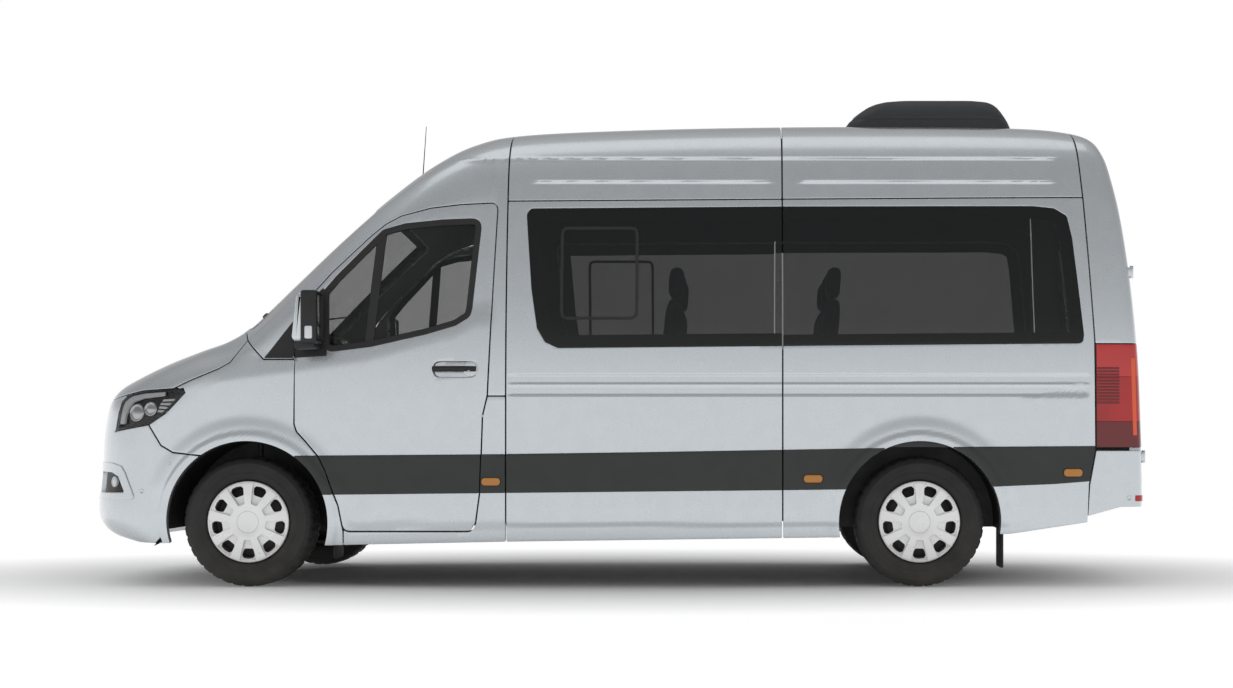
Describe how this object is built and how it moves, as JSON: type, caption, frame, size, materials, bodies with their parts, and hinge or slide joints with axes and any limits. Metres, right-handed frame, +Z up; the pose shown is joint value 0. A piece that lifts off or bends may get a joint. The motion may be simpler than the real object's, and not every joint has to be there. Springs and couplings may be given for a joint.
{
  "type": "high-roof minibus",
  "caption": "Silver high-roof passenger minibus with glazed sides, hinged cab doors, twin rear doors, an opening bonnet, steered front wheels and a roof air unit.",
  "frame": {"origin": "on the road at the middle of the whole vehicle's box", "axes": "-X is forward, -Y the vehicle's left side, +Z up"},
  "size_m": [5.932, 2.376, 2.786],
  "materials": {
    "body_paint": "bluish silver metallic",
    "dark_plastic": "grained black",
    "gloss_black": "smooth black",
    "lamp_clear": "clear lamp cover",
    "lamp_red": "red lamp cover",
    "cab_glass": "lightly tinted",
    "dark_glass": "dark privacy tint",
    "chassis_steel": "black paint",
    "engine_iron": "cast",
    "exhaust_steel": "dull",
    "seat_cloth": "woven",
    "tyre": "black rubber",
    "wheel_silver": "silver lacquer",
    "rubber": "black",
    "unit_grey": "dark grey"
  },
  "bodies": {
    "body": {"cab_frame": "body_paint", "roof_panel": "body_paint", "side_wall_left": "body_paint", "side_wall_right": "body_paint", "sliding_door": "body_paint", "rear_frame": "body_paint", "front_wings": "body_paint", "front_bumper": "body_paint", "rear_bumper": "body_paint", "grille": "gloss_black", "headlamps": "lamp_clear", "tail_lamps": "lamp_red", "windscreen": "cab_glass", "side_windows": "dark_glass", "floor_pan": "chassis_steel", "wheel_housings": "dark_plastic", "front_axle": "chassis_steel", "rear_axle": "chassis_steel", "engine": "engine_iron", "fuel_tank": "dark_plastic", "exhaust": "exhaust_steel", "mudflaps": "rubber", "dashboard": "dark_plastic", "steering_wheel": "dark_plastic", "cab_seats": "seat_cloth", "passenger_seats": "seat_cloth", "roof_air_unit": "unit_grey", "antenna": "rubber"},
    "bonnet": {"bonnet": "body_paint"},
    "cab_door_left": {"cab_door_left": "body_paint", "cab_glass_left": "cab_glass", "mirror_left": "gloss_black"},
    "cab_door_right": {"cab_door_right": "body_paint", "cab_glass_right": "cab_glass", "mirror_right": "gloss_black"},
    "rear_door_left": {"rear_door_left": "body_paint", "rear_glass_left": "dark_glass"},
    "rear_door_right": {"rear_door_right": "body_paint", "rear_glass_right": "dark_glass"},
    "knuckle_left": {"knuckle_left": "chassis_steel"},
    "knuckle_right": {"knuckle_right": "chassis_steel"},
    "front_wheel_left": {"tyre_front_left": "tyre", "wheel_front_left": "wheel_silver"},
    "front_wheel_right": {"tyre_front_right": "tyre", "wheel_front_right": "wheel_silver"},
    "rear_wheel_left": {"tyre_rear_left": "tyre", "wheel_rear_left": "wheel_silver"},
    "rear_wheel_right": {"tyre_rear_right": "tyre", "wheel_rear_right": "wheel_silver"}
  },
  "joints": [
    {"name": "steer_left", "type": "hinge", "parent": "body", "child": "knuckle_left", "pos_m": [-1.962, -0.7, 0.356], "axis": [0, 0, 1], "range_deg": [-35, 35]},
    {"name": "steer_right", "type": "hinge", "parent": "body", "child": "knuckle_right", "pos_m": [-1.962, 0.7, 0.356], "axis": [0, 0, 1], "range_deg": [-35, 35]},
    {"name": "front_wheel_left_spin", "type": "hinge", "parent": "knuckle_left", "child": "front_wheel_left", "pos_m": [-1.962, -0.865, 0.356], "axis": [0, 1, 0], "continuous": true},
    {"name": "front_wheel_right_spin", "type": "hinge", "parent": "knuckle_right", "child": "front_wheel_right", "pos_m": [-1.962, 0.865, 0.356], "axis": [0, 1, 0], "continuous": true},
    {"name": "rear_wheel_left_spin", "type": "hinge", "parent": "body", "child": "rear_wheel_left", "pos_m": [1.703, -0.865, 0.356], "axis": [0, 1, 0], "continuous": true},
    {"name": "rear_wheel_right_spin", "type": "hinge", "parent": "body", "child": "rear_wheel_right", "pos_m": [1.703, 0.865, 0.356], "axis": [0, 1, 0], "continuous": true},
    {"name": "cab_door_left_hinge", "type": "hinge", "parent": "body", "child": "cab_door_left", "pos_m": [-1.702, -1, 1], "axis": [0, 0, -1], "range_deg": [0, 68]},
    {"name": "cab_door_right_hinge", "type": "hinge", "parent": "body", "child": "cab_door_right", "pos_m": [-1.702, 1, 1], "axis": [0, 0, 1], "range_deg": [0, 68]},
    {"name": "rear_door_left_hinge", "type": "hinge", "parent": "body", "child": "rear_door_left", "pos_m": [2.972, -0.88, 0.7], "axis": [0.0732, 0, -0.9973], "range_deg": [0, 180]},
    {"name": "rear_door_right_hinge", "type": "hinge", "parent": "body", "child": "rear_door_right", "pos_m": [2.972, 0.88, 0.7], "axis": [-0.0732, 0, 0.9973], "range_deg": [0, 180]},
    {"name": "bonnet_hinge", "type": "hinge", "parent": "body", "child": "bonnet", "pos_m": [-1.985, 0, 1.462], "axis": [0, 1, 0], "range_deg": [0, 48]}
  ],
  "couplings": [
    {"joint": "steer_right", "follows": "steer_left", "ratio": 1}
  ]
}
